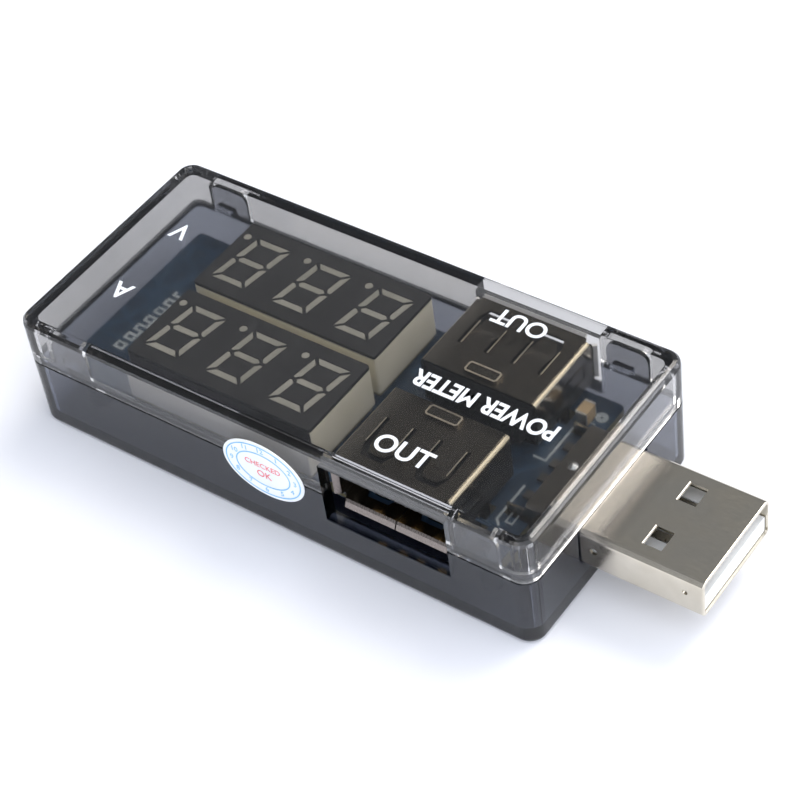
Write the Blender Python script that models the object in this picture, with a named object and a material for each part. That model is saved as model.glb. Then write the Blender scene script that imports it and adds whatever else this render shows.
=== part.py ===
"""USB power meter: a clamshell instrument with two 3-digit displays, one plug and two outlets.

Frame: origin at the middle of the case underside, +X toward the plug, +Z up.
All sizes below are in millimetres and are scaled by MM when a mesh is made.
"""
import math

import bmesh
import bpy
from mathutils import Matrix, Vector

MM = 0.001

# Clamshell case
CASE_LENGTH = 61.0
CASE_WIDTH = 28.0
CASE_HEIGHT = 14.0
PARTING_Z = 8.5
PARTING_GAP = 0.2
WALL = 1.4
ROOF = 1.0
FLOOR = 1.3
CASE_CORNER = 1.8
ROOF_ROUND = 0.7
FLOOR_ROUND = 0.6
INNER_CORNER = 0.8
LAP_THICKNESS = 0.5
LAP_HEIGHT = 0.7
LAP_SIDE_GAP = 0.25
LAP_TOP_GAP = 0.2

# Openings in the long walls, one for each outlet
OUTLET_X = 14.3
OPENING_WIDTH = 14.3
OPENING_LOW = 4.9
OPENING_HIGH = 12.4

# Snap tabs that rise from the tray into pockets in the cover, and the posts that carry the board
TAB_CENTRES = (-24.3, 24.5)
TAB_WIDTH = 4.7
TAB_INNER = 12.65
TAB_OUTER = 13.15
TAB_TOP = 12.4
TAB_CORNER = 1.0
POCKET_SIDE_GAP = 0.25
POCKET_DEPTH = 0.8
POCKET_TOP = 12.9
POCKET_CORNER = 0.8
NOSE_OFFSET = -0.3
NOSE_WIDTH = 2.2
NOSE_PROFILE = (
    (11.6, 10.3),
    (12.9, 10.3),
    (12.9, 8.9),
    (11.6, 9.9),
)
POST_RADIUS = 1.2
POST_CENTRES = ((-25.6, -9.0), (-25.6, 9.0), (23.2, -9.2), (23.2, 9.2))
POST_TOP = 4.6

# Circuit board
BOARD_LEFT = -27.9
BOARD_RIGHT = 25.2
BOARD_HALF_WIDTH = 10.9
BOARD_LOW = 4.9
BOARD_TOP = 6.5
BOARD_NOTCH_X = 24.4
BOARD_NOTCH_HALF = 6.35
LEG_SLOT_X = 22.3

# Display modules
MODULE_LENGTH = 22.6
MODULE_WIDTH = 9.9
MODULE_WALL = 0.35
MODULE_BASE_LOW = 6.65
MODULE_BASE_HIGH = 7.15
MODULE_CUP_LOW = 7.3
MODULE_CUP_FLOOR = 8.0
MODULE_CUP_HIGH = 11.9
FACE_LOW = 12.0
FACE_HIGH = 12.4
MODULES = (("volts", -7.47, 4.93), ("amps", -7.17, -6.1))
PIN_PITCH = 2.54
PIN_COUNT = 6
PIN_SIZE = 0.5
PIN_ROW_OFFSET = 3.8
PIN_LOW = 3.9
PIN_HOLE_RADIUS = 0.5
DIGIT_PITCH = 7.7
DIGIT_HEIGHT = 6.85
DIGIT_WIDTH = 4.4
DIGIT_SLANT = math.tan(math.radians(8.5))
STROKE = 0.78
MITRE_GAP = 0.17
DOT_RADIUS = 0.47
DOT_OFFSET = (2.8, -3.08)
APERTURE_CLEARANCE = 0.06

# Plug
PLUG_REAR = 24.7
PLUG_TIP = 43.5
PLUG_WIDTH = 12.0
PLUG_LOW = 4.0
PLUG_HIGH = 8.5
SHEET = 0.3
PLUG_CORNER = 0.6
WINDOW_X = (36.3, 38.2)
WINDOW_Y = (1.85, 4.25)
PLUG_BLOCK_TOP = 6.25
CONTACT_OFFSETS = (-3.5, -1.0, 1.0, 3.5)
CONTACT_WIDTH = 1.0

# Outlets, described for the one that opens toward -Y
OUTLET_WIDTH = 13.2
OUTLET_LOW = 6.65
OUTLET_HIGH = 12.3
OUTLET_FRONT = -12.2
OUTLET_REAR = -2.2
OUTLET_CORNER = 0.45
LIP_SHEET = 0.26
LIP_END = -12.5
LIP_DROP = 0.75
LIP_SPREAD = 0.5
LIP_RISE = 0.35
LIP_HALF_WIDTH = 5.85
LIP_HALF_HEIGHT = 2.1
NOTCH_REAR = -11.75
FINGER_CENTRES = (-3.05, 3.05)
FINGER_WIDTH = 2.7
FINGER_SLOT = 0.38
FINGER_ROOT = -5.8
FINGER_TAPER = -9.1
FINGER_FRONT = -10.3
FINGER_TIP_WIDTH = 1.6
FINGER_SLOT_TAPER = -9.7
FINGER_SLOT_FRONT = -11.0
FINGER_SLOT_TIP_WIDTH = 2.4
FINGER_BEND = -7.3
FINGER_SHEET = 0.26
FINGER_PATH = ((-7.0, 12.14), (-7.35, 12.14), (-8.8, 11.74), (-9.3, 11.74), (-10.5, 12.1))
TONGUE_LOW = 9.55
TONGUE_HIGH = 11.4
TONGUE_HALF = 5.5
TONGUE_FRONT = -11.4
TONGUE_REAR = -3.9
GROOVE_WIDTH = 1.3
SPRING_ROOT = (-4.3, 10.15)
SPRING_WIDTH = 0.9
SPRING_SHEET = 0.2
SPRING_PATH = (
    (-4.3, 10.15),
    (-5.6, 10.12),
    (-8.6, 9.75),
    (-9.6, 9.35),
    (-10.1, 9.25),
    (-10.6, 9.4),
    (-11.0, 9.75),
)

# Oval seal on the long wall
SEAL_CENTRE = (0.2, 8.22)
SEAL_HALF = (4.87, 3.57)
SEAL_SIDES = 64


def new_collection(name, hidden=False):
    """Make a collection in the scene; a hidden one holds cutters."""
    made = bpy.data.collections.new(name)
    bpy.context.scene.collection.children.link(made)
    made.hide_render = hidden
    return made


def new_material(name, colour, roughness, metallic=0.0, transmission=0.0):
    """Make a Principled material."""
    made = bpy.data.materials.new(name)
    made.use_nodes = True
    shader = made.node_tree.nodes["Principled BSDF"]
    shader.inputs["Base Color"].default_value = (*colour, 1.0)
    shader.inputs["Roughness"].default_value = roughness
    shader.inputs["Metallic"].default_value = metallic
    shader.inputs["Transmission Weight"].default_value = transmission
    made.diffuse_color = (*colour, 1.0)
    return made


def place(name, mesh, look=None, origin=(0.0, 0.0, 0.0)):
    """Put a mesh, drawn in case coordinates, in the scene with its origin at the given point."""
    mesh.name = name
    mesh.transform(Matrix.Translation(-Vector(origin)))
    mesh.transform(Matrix.Scale(MM, 4))
    made = bpy.data.objects.new(name, mesh)
    made.location = Vector(origin) * MM
    if look is None:
        CUTTERS.objects.link(made)
        made.hide_render = True
        made.display_type = "WIRE"
    else:
        PARTS.objects.link(made)
        mesh.materials.append(look)
    return made


def mesh_from(working):
    """Turn a finished bmesh into a mesh with its faces pointing out."""
    bmesh.ops.recalc_face_normals(working, faces=working.faces)
    mesh = bpy.data.meshes.new("shape")
    working.to_mesh(mesh)
    working.free()
    return mesh


def add_box(working, low, high):
    """Add a box between two corners and return its vertices."""
    size = [high[i] - low[i] for i in range(3)]
    centre = [(high[i] + low[i]) / 2 for i in range(3)]
    matrix = Matrix.Translation(centre) @ Matrix.Diagonal((*size, 1.0))
    return bmesh.ops.create_cube(working, size=1.0, matrix=matrix)["verts"]


def boxes(pairs):
    """Return one mesh of several boxes that do not touch each other."""
    working = bmesh.new()
    for low, high in pairs:
        add_box(working, low, high)
    return mesh_from(working)


def edges_along(working, axis):
    """Return the edges that run along an axis."""
    found = []
    for edge in working.edges:
        run = edge.verts[1].co - edge.verts[0].co
        if abs(run[axis]) > 0.999 * run.length:
            found.append(edge)
    return found


def cap_edges(working, axis, level):
    """Return the edges that lie in the cap at one level of an axis."""
    return [
        edge
        for edge in working.edges
        if all(abs(vert.co[axis] - level) < 1e-5 for vert in edge.verts)
    ]


def bevel_edges(working, edges, width, segments):
    """Round a set of edges."""
    bmesh.ops.bevel(
        working,
        geom=edges,
        offset=width,
        offset_type="OFFSET",
        segments=segments,
        profile=0.5,
        affect="EDGES",
    )


def rounded_block(low, high, corner, axis=2, low_round=0.0, high_round=0.0, segments=4):
    """Return a block with round corners along one axis and optional round caps."""
    working = bmesh.new()
    add_box(working, low, high)
    if corner > 0:
        bevel_edges(working, edges_along(working, axis), corner, segments)
    if high_round > 0:
        bevel_edges(working, cap_edges(working, axis, high[axis]), high_round, 3)
    if low_round > 0:
        bevel_edges(working, cap_edges(working, axis, low[axis]), low_round, 3)
    return mesh_from(working)


def prism(outline, axis, start, end):
    """Extrude a closed outline along an axis; the outline is drawn in the other two axes."""
    working = bmesh.new()
    others = [i for i in range(3) if i != axis]
    verts = []
    for first, second in outline:
        point = [0.0, 0.0, 0.0]
        point[axis] = start
        point[others[0]] = first
        point[others[1]] = second
        verts.append(working.verts.new(point))
    face = working.faces.new(verts)
    extruded = bmesh.ops.extrude_face_region(working, geom=[face])
    moved = [item for item in extruded["geom"] if isinstance(item, bmesh.types.BMVert)]
    shift = [0.0, 0.0, 0.0]
    shift[axis] = end - start
    bmesh.ops.translate(working, verts=moved, vec=shift)
    return mesh_from(working)


def strip(path, axis, centre, width, sheet):
    """Return a bent sheet strip that follows a path drawn in the two axes other than its width."""
    left = []
    right = []
    last = len(path) - 1
    for i, point in enumerate(path):
        before = Vector(path[max(i - 1, 0)])
        after = Vector(path[min(i + 1, last)])
        run = (after - before).normalized()
        normal = Vector((-run.y, run.x)) * (sheet / 2)
        left.append(Vector(point) + normal)
        right.append(Vector(point) - normal)
    outline = left + right[::-1]
    return prism(outline, axis, centre - width / 2, centre + width / 2)


def cylinder(centre, radius, low, high, axis=2, sides=16):
    """Return a closed cylinder along an axis; centre is drawn in the other two axes."""
    outline = []
    for i in range(sides):
        turn = 2 * math.pi * i / sides
        outline.append((centre[0] + radius * math.cos(turn), centre[1] + radius * math.sin(turn)))
    return prism(outline, axis, low, high)


def merge(meshes):
    """Join separate meshes that do not overlap into one."""
    working = bmesh.new()
    for mesh in meshes:
        working.from_mesh(mesh)
        bpy.data.meshes.remove(mesh)
    return mesh_from(working)


def turned(mesh, centre):
    """Turn a mesh half a turn about the upright line through a point."""
    point = Vector((centre[0], centre[1], 0.0))
    matrix = Matrix.Translation(point) @ Matrix.Rotation(math.pi, 4, "Z") @ Matrix.Translation(-point)
    mesh.transform(matrix)
    return mesh


def combine(target, tool, operation):
    """Add a Boolean modifier that cuts or joins a tool."""
    modifier = target.modifiers.new(tool.name, "BOOLEAN")
    modifier.object = tool
    modifier.operation = operation
    modifier.solver = "EXACT"


def cut(target, mesh, label):
    """Cut a mesh out of a part."""
    combine(target, place(target.name + "_" + label, mesh), "DIFFERENCE")


def join(target, mesh, label):
    """Join a mesh to a part."""
    combine(target, place(target.name + "_" + label, mesh), "UNION")


def soften(target):
    """Shade a pressed or moulded part smooth while its flat faces stay flat."""
    for polygon in target.data.polygons:
        polygon.use_smooth = True
    modifier = target.modifiers.new("face_weighted_normals", "WEIGHTED_NORMAL")
    modifier.mode = "FACE_AREA_WITH_ANGLE"
    modifier.weight = 80


def half(value):
    """Return the two signed halves of a width."""
    return -value / 2, value / 2


def case_opening(low, high):
    """Return a cutter for both outlet openings between two heights."""
    left = OUTLET_X - OPENING_WIDTH / 2
    right = OUTLET_X + OPENING_WIDTH / 2
    inner = CASE_WIDTH / 2 - WALL - 1.0
    outer = CASE_WIDTH / 2 + 1.0
    return boxes((
        ((left, -outer, low), (right, -inner, high)),
        ((left, inner, low), (right, outer, high)),
    ))


def tab_outline(centre):
    """Return the round-topped outline of a snap tab, drawn in X and Z."""
    reach = TAB_WIDTH / 2
    low = PARTING_Z - 0.6
    outline = [(centre - reach, low), (centre + reach, low)]
    for side in (1, -1):
        for step in range(5):
            turn = math.radians(22.5 * (step if side == 1 else 4 - step))
            outline.append((
                centre + side * (reach - TAB_CORNER + TAB_CORNER * math.cos(turn)),
                TAB_TOP - TAB_CORNER + TAB_CORNER * math.sin(turn),
            ))
    return outline


def lap_block(grow, low, high):
    """Return a block as large as the cavity grown sideways, for the lap joint at the parting line."""
    reach_x = CASE_LENGTH / 2 - WALL + grow
    reach_y = CASE_WIDTH / 2 - WALL + grow
    return rounded_block((-reach_x, -reach_y, low), (reach_x, reach_y, high), INNER_CORNER + grow, segments=3)


def build_lower_case():
    """Tray with a plug notch, two outlet openings, board posts and four snap tabs."""
    half_length = CASE_LENGTH / 2
    half_width = CASE_WIDTH / 2
    top = PARTING_Z - PARTING_GAP / 2
    tray = place(
        "lower_case",
        rounded_block(
            (-half_length, -half_width, 0.0),
            (half_length, half_width, top),
            CASE_CORNER,
            low_round=FLOOR_ROUND,
            segments=7,
        ),
        SMOKED,
    )
    join(tray, lap_block(LAP_THICKNESS, top - 1.0, top + LAP_HEIGHT), "lap")
    cut(
        tray,
        rounded_block(
            (-half_length + WALL, -half_width + WALL, FLOOR),
            (half_length - WALL, half_width - WALL, top + 2.0),
            INNER_CORNER,
            segments=3,
        ),
        "cavity",
    )
    posts = [cylinder(centre, POST_RADIUS, FLOOR - 0.5, POST_TOP) for centre in POST_CENTRES]
    join(tray, merge(posts), "posts")
    cut(tray, case_opening(OPENING_LOW, top + 1.0), "outlet_openings")
    notch = rounded_block(
        (half_length - WALL - 1.0, -PLUG_WIDTH / 2 - 0.2, PLUG_LOW - 0.2),
        (half_length + 1.0, PLUG_WIDTH / 2 + 0.2, top + 3.0),
        PLUG_CORNER,
        axis=0,
        segments=3,
    )
    cut(tray, notch, "plug_notch")
    tabs = []
    noses = []
    for centre in TAB_CENTRES:
        start = centre + NOSE_OFFSET - NOSE_WIDTH / 2
        end = centre + NOSE_OFFSET + NOSE_WIDTH / 2
        for side in (-1, 1):
            tabs.append(prism(tab_outline(centre), 1, side * TAB_INNER, side * TAB_OUTER))
            noses.append(prism([(side * y, z) for y, z in NOSE_PROFILE], 0, start, end))
    join(tray, merge(tabs), "snap_tabs")
    join(tray, merge(noses), "snap_noses")
    soften(tray)


def build_upper_cover():
    """Lid with outlet openings and four pockets for the snap tabs."""
    half_length = CASE_LENGTH / 2
    half_width = CASE_WIDTH / 2
    bottom = PARTING_Z + PARTING_GAP / 2
    lid = place(
        "upper_cover",
        rounded_block(
            (-half_length, -half_width, bottom),
            (half_length, half_width, CASE_HEIGHT),
            CASE_CORNER,
            high_round=ROOF_ROUND,
            segments=7,
        ),
        SMOKED_LIGHT,
    )
    cut(
        lid,
        rounded_block(
            (-half_length + WALL, -half_width + WALL, bottom - 2.0),
            (half_length - WALL, half_width - WALL, CASE_HEIGHT - ROOF),
            INNER_CORNER,
            segments=3,
        ),
        "cavity",
    )
    rabbet_top = PARTING_Z - PARTING_GAP / 2 + LAP_HEIGHT + LAP_TOP_GAP
    cut(lid, lap_block(LAP_THICKNESS + LAP_SIDE_GAP, bottom - 1.0, rabbet_top), "lap_rabbet")
    cut(lid, case_opening(bottom - 1.0, OPENING_HIGH), "outlet_openings")
    reach = TAB_WIDTH / 2 + POCKET_SIDE_GAP
    inner = half_width - WALL
    pockets = []
    for centre in TAB_CENTRES:
        for side in (-1, 1):
            near, far = sorted((side * (inner - 0.3), side * (inner + POCKET_DEPTH)))
            low = (centre - reach, near, bottom - 2.0)
            high = (centre + reach, far, POCKET_TOP)
            pockets.append(rounded_block(low, high, POCKET_CORNER, axis=1, segments=3))
    cut(lid, merge(pockets), "tab_pockets")
    soften(lid)


def pin_points(centre_x, centre_y):
    """Return the pin positions of one display module."""
    points = []
    for side in (-1, 1):
        for i in range(PIN_COUNT):
            x = centre_x + (i - (PIN_COUNT - 1) / 2) * PIN_PITCH
            points.append((x, centre_y + side * PIN_ROW_OFFSET))
    return points


def build_board():
    """Circuit board with a plug notch, leg slots and pin holes."""
    board = place(
        "main_board",
        rounded_block(
            (BOARD_LEFT, -BOARD_HALF_WIDTH, BOARD_LOW),
            (BOARD_RIGHT, BOARD_HALF_WIDTH, BOARD_TOP),
            0.5,
            segments=2,
        ),
        BOARD_BLUE,
    )
    low, high = BOARD_LOW - 1.0, BOARD_TOP + 1.0
    notch = [
        (BOARD_RIGHT + 1.0, -BOARD_NOTCH_HALF),
        (BOARD_RIGHT + 1.0, BOARD_NOTCH_HALF),
        (LEG_SLOT_X, BOARD_NOTCH_HALF),
        (LEG_SLOT_X, PLUG_WIDTH / 2 - SHEET - 0.3),
        (BOARD_NOTCH_X, PLUG_WIDTH / 2 - SHEET - 0.3),
        (BOARD_NOTCH_X, -PLUG_WIDTH / 2 + SHEET + 0.3),
        (LEG_SLOT_X, -PLUG_WIDTH / 2 + SHEET + 0.3),
        (LEG_SLOT_X, -BOARD_NOTCH_HALF),
    ]
    cut(board, prism(notch, 2, low, high), "plug_notch")
    holes = []
    for name, x, y in MODULES:
        for point in pin_points(x, y):
            holes.append(cylinder(point, PIN_HOLE_RADIUS, low, high, sides=8))
    cut(board, merge(holes), "pin_holes")
    slots = []
    for side in (-1, 1):
        for edge in half(OUTLET_WIDTH):
            x = OUTLET_X + edge
            slots.append(((x - 0.6, side * 7.0 - 1.0, low), (x + 0.6, side * 7.0 + 1.0, high)))
        for offset in CONTACT_OFFSETS:
            x = OUTLET_X + offset
            y = side * 1.55
            slots.append(((x - 0.45, y - 0.45, low), (x + 0.45, y + 0.45, high)))
    cut(board, boxes(slots), "outlet_slots")


def inset(outline, distance):
    """Return an anticlockwise convex outline moved inwards by a distance."""
    moved = []
    count = len(outline)
    for i, point in enumerate(outline):
        here = Vector(point)
        into = (here - Vector(outline[i - 1])).normalized()
        away = (Vector(outline[(i + 1) % count]) - here).normalized()
        first = Vector((-into.y, into.x))
        second = Vector((-away.y, away.x))
        moved.append(here + (first + second) * (distance / (1 + first.dot(second))))
    return moved


def digit_bars():
    """Return the seven mitred bars of a figure, anticlockwise, centred on the figure."""
    a = DIGIT_WIDTH / 2
    b = DIGIT_HEIGHT / 2
    t = STROKE
    c = MITRE_GAP
    top = [(-a + c, b), (-a + t + c, b - t), (a - t - c, b - t), (a - c, b)]
    side = [(-a, b - c), (-a, c), (-a + t / 2, c), (-a + t, t / 2 + c), (-a + t, b - t - c)]
    middle = [
        (-a + t / 2 + c, 0.0),
        (-a + t + c, -t / 2),
        (a - t - c, -t / 2),
        (a - t / 2 - c, 0.0),
        (a - t - c, t / 2),
        (-a + t + c, t / 2),
    ]
    bars = [top, [(-x, -y) for x, y in top], middle, side, [(-x, -y) for x, y in side]]
    bars.append([(-x, y) for x, y in reversed(side)])
    bars.append([(x, -y) for x, y in reversed(side)])
    return bars


def segment_outlines(centre_x, centre_y, shrink):
    """Return the lit-segment outlines and decimal points of one three-digit module.

    The digits read toward -X with their tops toward -Y.
    """
    outlines = []
    dots = []
    for index in range(3):
        middle_x = centre_x + (index - 1) * DIGIT_PITCH
        for bar in digit_bars():
            outline = []
            for x, y in inset(bar, shrink):
                outline.append((middle_x - x - y * DIGIT_SLANT, centre_y - y))
            outlines.append(outline)
        dots.append((middle_x - DOT_OFFSET[0], centre_y - DOT_OFFSET[1]))
    return outlines, dots


def segment_prisms(centre_x, centre_y, shrink, low, high):
    """Return all segments and decimal points of one module as one mesh."""
    outlines, dots = segment_outlines(centre_x, centre_y, shrink)
    shapes = [prism(outline, 2, low, high) for outline in outlines]
    for dot in dots:
        shapes.append(cylinder(dot, DOT_RADIUS - shrink, low, high, sides=12))
    return merge(shapes)


def build_display(name, x, y):
    """Display module: pin base, light housing, clear resin and dark face."""
    half_length = MODULE_LENGTH / 2
    half_width = MODULE_WIDTH / 2
    low = (x - half_length, y - half_width)
    high = (x + half_length, y + half_width)
    base = place(
        "display_" + name + "_base",
        boxes([(
            (low[0] + 0.3, low[1] + 0.3, MODULE_BASE_LOW),
            (high[0] - 0.3, high[1] - 0.3, MODULE_BASE_HIGH),
        )]),
        LAMINATE,
    )
    reach = PIN_SIZE / 2
    pins = []
    for point in pin_points(x, y):
        pins.append((
            (point[0] - reach, point[1] - reach, PIN_LOW),
            (point[0] + reach, point[1] + reach, MODULE_BASE_LOW + 0.25),
        ))
    join(base, boxes(pins), "pins")
    housing = place(
        "display_" + name + "_housing",
        rounded_block((*low, MODULE_CUP_LOW), (*high, MODULE_CUP_HIGH), 0.25, segments=2),
        CREAM,
    )
    pocket = rounded_block(
        (low[0] + MODULE_WALL, low[1] + MODULE_WALL, MODULE_CUP_FLOOR),
        (high[0] - MODULE_WALL, high[1] - MODULE_WALL, MODULE_CUP_HIGH + 1.0),
        0.3,
        segments=2,
    )
    cut(housing, pocket, "pocket")
    resin = place(
        "display_" + name + "_resin",
        boxes([(
            (low[0] + MODULE_WALL + 0.2, low[1] + MODULE_WALL + 0.2, MODULE_CUP_FLOOR + 0.2),
            (high[0] - MODULE_WALL - 0.2, high[1] - MODULE_WALL - 0.2, MODULE_CUP_HIGH - 0.1),
        )]),
        RESIN,
    )
    raised = segment_prisms(x, y, APERTURE_CLEARANCE, MODULE_CUP_HIGH - 1.0, FACE_HIGH - 0.03)
    join(resin, raised, "segments")
    face = place(
        "display_" + name + "_face",
        rounded_block((*low, FACE_LOW), (*high, FACE_HIGH), 0.25, segments=2),
        FACE_GREY,
    )
    cut(face, segment_prisms(x, y, 0.0, FACE_LOW - 0.5, FACE_HIGH + 0.5), "apertures")


def build_plug():
    """Plug: steel shell, insulator and four flat contacts."""
    side = PLUG_WIDTH / 2
    shell = place(
        "plug_shell",
        rounded_block((PLUG_REAR, -side, PLUG_LOW), (PLUG_TIP, side, PLUG_HIGH), PLUG_CORNER, axis=0,
                      high_round=0.12),
        STEEL,
    )
    bore = rounded_block(
        (PLUG_REAR - 1.0, -side + SHEET, PLUG_LOW + SHEET),
        (PLUG_TIP + 1.0, side - SHEET, PLUG_HIGH - SHEET),
        PLUG_CORNER - SHEET,
        axis=0,
        segments=3,
    )
    cut(shell, bore, "bore")
    windows = []
    for sign in (-1, 1):
        y_low, y_high = sorted((sign * WINDOW_Y[0], sign * WINDOW_Y[1]))
        windows.append(((WINDOW_X[0], y_low, PLUG_LOW - 1.0), (WINDOW_X[1], y_high, PLUG_HIGH + 1.0)))
    cut(shell, boxes(windows), "windows")
    dents = []
    for x, radius in ((32.0, 0.42), (41.6, 0.28)):
        dents.append(cylinder((x, 6.55), radius, -side - 1.0, side + 1.0, axis=1, sides=12))
    cut(shell, merge(dents), "side_holes")
    legs = []
    for sign in (-1, 1):
        y_low, y_high = sorted((sign * (side - SHEET), sign * side))
        legs.append(((LEG_SLOT_X + 0.3, y_low, 4.6), (PLUG_REAR + 0.6, y_high, 7.6)))
    join(shell, boxes(legs), "legs")
    soften(shell)

    block = place(
        "plug_insulator",
        rounded_block(
            (PLUG_REAR + 0.5, -side + SHEET + 0.1, PLUG_LOW + SHEET + 0.1),
            (PLUG_TIP - 0.25, side - SHEET - 0.1, PLUG_HIGH - SHEET - 0.1),
            0.2,
            axis=0,
            segments=2,
        ),
        WHITE_NYLON,
    )
    hollow = boxes([(
        (PLUG_REAR + 4.5, -side, PLUG_BLOCK_TOP),
        (PLUG_TIP + 1.0, side, PLUG_HIGH + 1.0),
    )])
    cut(block, hollow, "hollow")
    grooves = []
    reach = CONTACT_WIDTH / 2 + 0.12
    for offset in CONTACT_OFFSETS:
        grooves.append((
            (PLUG_REAR, offset - reach, PLUG_BLOCK_TOP - 0.4),
            (PLUG_TIP - 1.0, offset + reach, PLUG_BLOCK_TOP + 0.6),
        ))
    cut(block, boxes(grooves), "contact_grooves")

    for number, offset in enumerate(CONTACT_OFFSETS, start=1):
        front = 42.2 if abs(offset) > 2 else 41.2
        path = (
            (23.0, 6.75),
            (24.1, 6.75),
            (24.7, 6.3),
            (25.1, 6.1),
            (front - 0.5, 6.1),
            (front, 6.0),
        )
        place("plug_contact_%d" % number, strip(path, 1, offset, CONTACT_WIDTH, 0.2), GOLD)


def outlet_tube(low_y, high_y, sheet, corner):
    """Return the block inside the outlet shell's wall, less a sheet on each side."""
    side = OUTLET_WIDTH / 2 - sheet
    return rounded_block(
        (OUTLET_X - side, low_y, OUTLET_LOW + sheet),
        (OUTLET_X + side, high_y, OUTLET_HIGH - sheet),
        corner,
        axis=1,
        segments=4,
    )


def outlet_lips():
    """Return the four bent lips around the mouth of the outlet that opens toward -Y."""
    inside = SHEET / 2
    root = OUTLET_FRONT + 0.4
    bend = OUTLET_FRONT + 0.05
    shapes = []
    for level, turn in ((OUTLET_LOW + inside, -LIP_DROP), (OUTLET_HIGH - inside, LIP_RISE)):
        path = ((root, level), (bend, level), (bend - 0.1, level + turn * 0.25), (LIP_END, level + turn))
        shapes.append(strip(path, 0, OUTLET_X, LIP_HALF_WIDTH * 2, LIP_SHEET))
    middle = (OUTLET_LOW + OUTLET_HIGH) / 2
    for sign in (-1, 1):
        x = OUTLET_X + sign * (OUTLET_WIDTH / 2 - inside)
        turn = sign * LIP_SPREAD
        path = ((x, root), (x, bend), (x + turn * 0.25, bend - 0.1), (x + turn, LIP_END))
        shapes.append(strip(path, 2, middle, LIP_HALF_HEIGHT * 2, LIP_SHEET))
    return merge(shapes)


def mouth_notches():
    """Return the cutters that free the lips from each other at the corners of the mouth."""
    middle = (OUTLET_LOW + OUTLET_HIGH) / 2
    shapes = []
    for sign_x in (-1, 1):
        for sign_z in (-1, 1):
            near = (OUTLET_X + sign_x * (LIP_HALF_WIDTH + 0.15), middle + sign_z * (LIP_HALF_HEIGHT + 0.15))
            far = (OUTLET_X + sign_x * (OUTLET_WIDTH / 2 + 1.0), middle + sign_z * 4.0)
            low_x, high_x = sorted((near[0], far[0]))
            low_z, high_z = sorted((near[1], far[1]))
            shapes.append(((low_x, OUTLET_FRONT - 1.0, low_z), (high_x, NOTCH_REAR, high_z)))
    return boxes(shapes)


def finger_slots(low, high):
    """Return U-shaped slots that free the retention fingers in the top or bottom of a shell."""
    shapes = []
    for centre in FINGER_CENTRES:
        middle = OUTLET_X + centre
        reach = FINGER_WIDTH / 2
        outer = reach + FINGER_SLOT
        tip = FINGER_TIP_WIDTH / 2
        nose = FINGER_SLOT_TIP_WIDTH / 2
        outline = (
            (middle - outer, FINGER_ROOT),
            (middle - outer, FINGER_SLOT_TAPER),
            (middle - nose, FINGER_SLOT_FRONT),
            (middle + nose, FINGER_SLOT_FRONT),
            (middle + outer, FINGER_SLOT_TAPER),
            (middle + outer, FINGER_ROOT),
            (middle + reach, FINGER_ROOT),
            (middle + reach, FINGER_TAPER),
            (middle + tip, FINGER_FRONT),
            (middle - tip, FINGER_FRONT),
            (middle - reach, FINGER_TAPER),
            (middle - reach, FINGER_ROOT),
        )
        shapes.append(prism(outline, 2, low, high))
    return merge(shapes)


def finger_windows():
    """Return the parts of a shell's top that its dipped finger ends replace."""
    pairs = []
    for centre in FINGER_CENTRES:
        middle = OUTLET_X + centre
        reach = FINGER_WIDTH / 2 + 0.05
        pairs.append((
            (middle - reach, FINGER_FRONT - 0.1, OUTLET_HIGH - 1.0),
            (middle + reach, FINGER_BEND, OUTLET_HIGH + 1.0),
        ))
    return boxes(pairs)


def finger_ends():
    """Return the ends of the top fingers, which dip toward the plug and rise again."""
    ends = []
    for centre in FINGER_CENTRES:
        ends.append(strip(FINGER_PATH, 0, OUTLET_X + centre, FINGER_WIDTH - 0.04, FINGER_SHEET))
    return merge(ends)


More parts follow.
